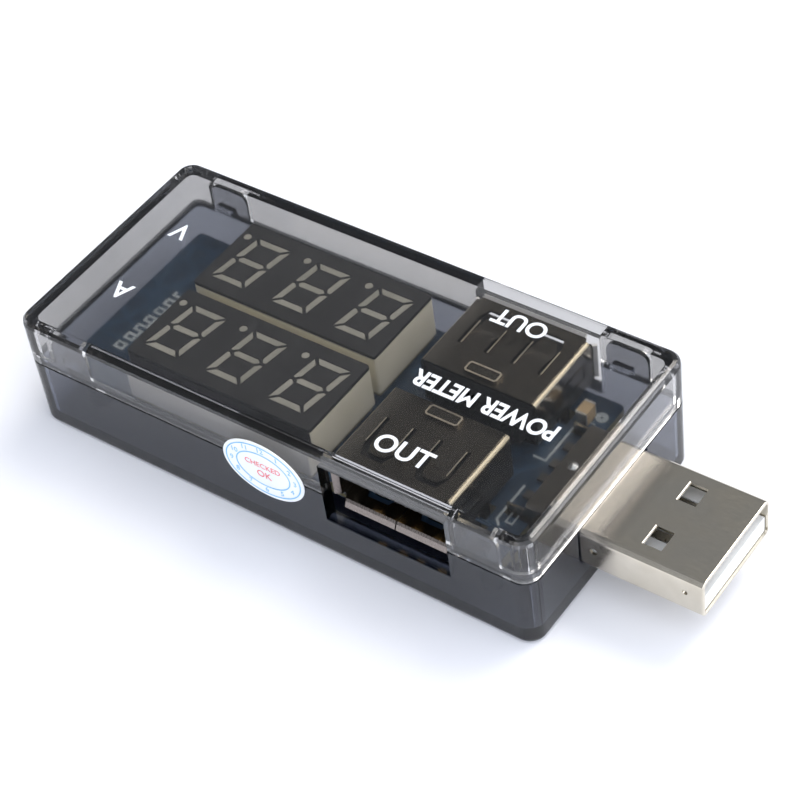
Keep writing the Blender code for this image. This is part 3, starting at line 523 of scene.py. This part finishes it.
def ridge_mesh(profile, start, end):
    """Return a closed ridge: an outline in X and Z carried along Y."""
    working = bmesh.new()
    first = [working.verts.new((x, start, z)) for x, z in profile]
    second = [working.verts.new((x, end, z)) for x, z in profile]
    band(working, first, second)
    working.faces.new(first[::-1])
    working.faces.new(second)
    return finished(working, "ridge")


def ring_mesh(radius_x, radius_y, width, thickness, sides=72):
    """Return a flat oval ring."""
    working = bmesh.new()
    loops = []
    half = width / 2
    for grow, height in ((-half, 0.0), (half, 0.0), (half, thickness), (-half, thickness)):
        loops.append(oval(working, radius_x + grow, radius_y + grow, height, sides))
    for first, second in zip(loops, loops[1:] + loops[:1]):
        band(working, first, second)
    return finished(working, "ring")


def dome_mesh(radius, height, sides=20, rings=5):
    """Return a closed solder fillet: a low dome with a slightly hollow flank."""
    working = bmesh.new()
    profile = []
    for i in range(rings + 1):
        t = i / rings
        profile.append((radius * (1 - t) ** 0.8, height * t ** 1.3))
    loops = [oval(working, r, r, z, sides) for r, z in profile[:-1]]
    tip = working.verts.new((0.0, 0.0, height))
    for first, second in zip(loops, loops[1:]):
        band(working, first, second)
    for i in range(sides):
        working.faces.new((loops[-1][i], loops[-1][(i + 1) % sides], tip))
    working.faces.new(loops[0][::-1])
    mesh = finished(working, "dome")
    for polygon in mesh.polygons:
        polygon.use_smooth = len(polygon.vertices) < 5
    return mesh


def merged(name, meshes):
    """Join several meshes into one."""
    working = bmesh.new()
    for mesh in meshes:
        working.from_mesh(mesh)
        bpy.data.meshes.remove(mesh)
    made = bpy.data.meshes.new(name)
    working.to_mesh(made)
    working.free()
    return made


def placed(mesh, matrix):
    """Transform a mesh and return it."""
    mesh.transform(matrix)
    return mesh


# Printed legends on the cover: name, text, size, share of width, added weight, X, Y and turn in degrees
for name, text, size, wide, weight, x, y, turn in (
    ("legend_volts", "V", 3.0, 1.0, 0.018, -23.7, 4.5, 180),
    ("legend_amps", "A", 3.0, 1.0, 0.018, -23.5, -5.4, 180),
    ("legend_out_b", "OUT", 2.85, 0.98, 0.018, 14.42, 9.84, 180),
    ("legend_out_a", "OUT", 3.0, 0.98, 0.018, 14.15, -9.7, 0),
    ("legend_centre", "POWER METER", 2.75, 0.86, 0.028, 17.4, -0.87, 180),
):
    keep(name, lettering(text, size, wide, weight), PRINT, on_top(x, y, turn))

# Printed oval seal: two rings, a ring of numbers between them and two words
seal_prints = []
for rx, ry in ((4.45, 3.2), (3.2, 2.15)):
    seal_prints.append(ring_mesh(rx, ry, 0.12, INK))
for hour in range(1, 13):
    turn = math.radians(90 - 30 * hour)
    digit = lettering(str(hour), 0.9, weight=0.0)
    spot = (3.82 * math.cos(turn), 2.67 * math.sin(turn), 0.0)
    seal_prints.append(placed(digit, Matrix.Translation(spot)))
keep("seal_ring_print", merged("ring", seal_prints), BLUE_INK, on_seal())
words = []
for text, size, rise in (("CHECKED", 0.95, 0.55), ("OK", 1.2, -0.65)):
    words.append(placed(lettering(text, size, weight=0.004), Matrix.Translation((0.0, rise, 0.0))))
keep("seal_word_print", merged("words", words), RED_INK, on_seal())

# Silk-screen lines on the board
SILK_LOW = BOARD_TOP + 0.003
SILK_HIGH = BOARD_TOP + 0.03
MARKS = 13
MARK_START = (-25.0, -7.1)
MARK_STEP = (0.06, 0.74)
silk_lines = [
    bar_mesh([(20.9, 1.1), (22.3, 1.1), (22.3, 6.7)], 0.22, SILK_LOW, SILK_HIGH),
    bar_mesh([(22.3, -2.5), (22.3, -7.3), (22.9, -7.9)], 0.22, SILK_LOW, SILK_HIGH),
    bar_mesh([(23.2, -5.6), (23.2, -7.2), (23.9, -7.2), (23.9, -5.6)], 0.14, SILK_LOW, SILK_HIGH),
    bar_mesh([(21.9, 8.9), (21.9, 7.4), (23.9, 7.4)], 0.14, SILK_LOW, SILK_HIGH),
]
for i in range(MARKS):
    x = MARK_START[0] + i * MARK_STEP[0]
    y = MARK_START[1] + i * MARK_STEP[1]
    silk_lines.append(bar_mesh([(x, y), (x + 1.3, y)], 0.26, SILK_LOW, SILK_HIGH))
    if i % 3 != 1:
        silk_lines.append(bar_mesh([(x + 1.15, y + 0.17), (x + 1.15, y + 0.55)], 0.3, SILK_LOW, SILK_HIGH))
    if i % 2 == 0:
        silk_lines.append(bar_mesh([(x + 0.15, y + 0.17), (x + 0.15, y + 0.55)], 0.3, SILK_LOW, SILK_HIGH))
silk_lines.append(placed(ring_mesh(0.42, 0.38, 0.5, 0.03), Matrix.Translation((24.0, 8.5, SILK_LOW))))
keep("board_silk", merged("silk", silk_lines), SILK)

# Pressed rim of the raised tab and burrs along the finger slots of each outlet
TAB_RISE = 0.35
TAB_OUTLINE = [
    (-0.2, -2.7), (-1.6, -2.7), (-1.78, -2.9), (-1.78, -3.7), (-1.6, -3.9),
    (1.6, -3.9), (1.78, -3.7), (1.78, -2.9), (1.6, -2.7), (-0.15, -2.7),
]
FINGER_CENTRES = (-3.05, 3.05)
BURR_RUN = (-9.3, -5.9)
for outlet, turn in (("outlet_a", 0), ("outlet_b", math.pi)):
    around = Matrix.Translation((OUTLET_X, 0.0, 0.0)) @ Matrix.Rotation(turn, 4, "Z")
    rim = bar_mesh(TAB_OUTLINE, 0.18, OUTLET_TOP + TAB_RISE - 0.02, OUTLET_TOP + TAB_RISE + 0.04)
    burrs = []
    for centre in FINGER_CENTRES:
        for side in (-1, 1):
            x = centre + side * 1.35 - 0.42 + (0.36 if side > 0 else 0.0)
            path = [(x, y) for y in BURR_RUN]
            burrs.append(bar_mesh(path, 0.1, OUTLET_TOP - 0.02, OUTLET_TOP + 0.05))
    keep(outlet + "_tab_rim", placed(rim, around), WORN_STEEL)
    keep(outlet + "_slot_burrs", placed(merged("burrs", burrs), around), WORN_STEEL)

# Rounded edges of the plug's locking windows on the side away from the tip
WINDOW_EDGE = ((36.12, 8.49), (36.2, 8.545), (36.28, 8.52), (36.36, 8.38))
WINDOW_SPAN = (1.8, 4.3)
window_edges = []
for side in (-1, 1):
    window_edges.append(ridge_mesh(WINDOW_EDGE, *sorted(side * reach for reach in WINDOW_SPAN)))
keep("plug_window_edges", merged("edges", window_edges), BRIGHT_EDGE)

# Solder fillets where leads pass through the board
PIN_PITCH = 2.54
PIN_ROW = 3.8
FILLET_LEVEL = BOARD_LOW - 0.02
HANGING = Matrix.Rotation(math.pi, 4, "X")
fillets = []
for node in ("display_volts_base", "display_amps_base"):
    low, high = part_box(node)
    x = (low[0] + high[0]) / 2 / MM
    y = (low[1] + high[1]) / 2 / MM
    for side in (-1, 1):
        for i in range(6):
            point = (x + (i - 2.5) * PIN_PITCH, y + side * PIN_ROW, FILLET_LEVEL)
            fillets.append(placed(dome_mesh(0.75, 0.8), Matrix.Translation(point) @ HANGING))
for side in (-1, 1):
    for offset in (-3.5, -1.0, 1.0, 3.5):
        point = (OUTLET_X + offset, side * 1.55, FILLET_LEVEL)
        fillets.append(placed(dome_mesh(0.7, 0.8), Matrix.Translation(point) @ HANGING))
    for edge in (-6.45, 6.45):
        point = (OUTLET_X + edge, side * 7.0, FILLET_LEVEL)
        fillets.append(placed(dome_mesh(1.1, 0.9), Matrix.Translation(point) @ HANGING))
keep("board_solder", merged("fillets", fillets), SOLDER)
keep("plug_solder_dot", dome_mesh(0.55, 0.3), SOLDER, Matrix.Translation((26.0, 0.3, 8.5)))


# ---------------------------------------------------------------- floor, light and camera

def floor():
    """Large pale table top."""
    made, tree, shader = new_material("floor_paper")
    place = coordinates(tree)
    soft = noise(tree, place, 8.0, 2.0)
    link(tree, blend_colours(tree, ramp(tree, soft, 0.3, 0.7), (0.86, 0.86, 0.88), (0.84, 0.84, 0.87)),
         shader.inputs["Base Color"])
    shader.inputs["Roughness"].default_value = 0.7
    mesh = bpy.data.meshes.new("floor")
    corners = [(x * FLOOR_REACH, y * FLOOR_REACH, 0.0) for x, y in ((-1, -1), (1, -1), (1, 1), (-1, 1))]
    mesh.from_pydata(corners, [], [(0, 1, 2, 3)])
    mesh.materials.append(made)
    item = bpy.data.objects.new("floor", mesh)
    item.location.z = -FLOOR_GAP
    bpy.context.scene.collection.objects.link(item)


def softbox(name, place, target, size, power, colour):
    """Square area light aimed at a point."""
    lamp = bpy.data.lights.new(name, "AREA")
    lamp.shape = "RECTANGLE"
    lamp.size, lamp.size_y = size
    lamp.energy = power
    lamp.color = colour
    made = bpy.data.objects.new(name, lamp)
    made.location = place
    made.rotation_euler = (Vector(place) - Vector(target)).to_track_quat("Z", "Y").to_euler()
    bpy.context.scene.collection.objects.link(made)


def view_back():
    """Return the unit vector from the target toward the camera."""
    azimuth, elevation = math.radians(VIEW_AZIMUTH), math.radians(VIEW_ELEVATION)
    return Vector((
        math.sin(azimuth) * math.cos(elevation),
        -math.cos(azimuth) * math.cos(elevation),
        math.sin(elevation),
    ))


def surroundings(colour, bright, dim):
    """Studio light from all round, dimmer in the parts that DIM_ZONES lists."""
    world = bpy.data.worlds.new("studio")
    world.use_nodes = True
    tree = world.node_tree
    shader = tree.nodes["Background"]
    shader.inputs["Color"].default_value = (*colour, 1.0)
    place = add(tree, "TexCoord")
    strength = None
    for direction, inner, outer in DIM_ZONES:
        facing = add(tree, "VectorMath", operation="DOT_PRODUCT")
        facing.inputs[1].default_value = direction
        link(tree, place.outputs["Generated"], facing.inputs[0])
        reach = add(tree, "MapRange", interpolation_type="SMOOTHSTEP", inputs={
            "From Min": math.cos(math.radians(outer)),
            "From Max": math.cos(math.radians(inner)),
            "To Min": bright,
            "To Max": dim,
        })
        link(tree, facing.outputs["Value"], reach.inputs["Value"])
        level = reach.outputs["Result"]
        strength = level if strength is None else math_node(tree, "MINIMUM", strength, level)
    link(tree, strength, shader.inputs["Strength"])
    bpy.context.scene.world = world


def camera():
    """Camera at the measured view, with its roll."""
    roll = math.radians(VIEW_ROLL)
    back = view_back()
    right = (-back).cross(Vector((0.0, 0.0, 1.0))).normalized()
    up = right.cross(-back)
    turned_right = right * math.cos(roll) + up * math.sin(roll)
    turned_up = up * math.cos(roll) - right * math.sin(roll)
    data = bpy.data.cameras.new("camera")
    data.lens = VIEW_LENS
    data.sensor_width = 36.0
    data.clip_start = 0.01
    data.clip_end = 20.0
    made = bpy.data.objects.new("camera", data)
    turn = Matrix((turned_right, turned_up, back)).transposed().to_4x4()
    spot = (Vector(VIEW_TARGET) + back * VIEW_DISTANCE) * MM
    made.matrix_world = Matrix.Translation(spot) @ turn
    bpy.context.scene.collection.objects.link(made)
    bpy.context.scene.camera = made


floor()
surroundings((0.88, 0.92, 1.0), 2.08, 0.26)
softbox("key_light", (0.16, 0.54, 0.78), (0.0, 0.0, 0.0), (0.4, 0.4), 4.0, (1.0, 0.96, 0.9))
camera()
bpy.context.scene.view_settings.view_transform = "Standard"
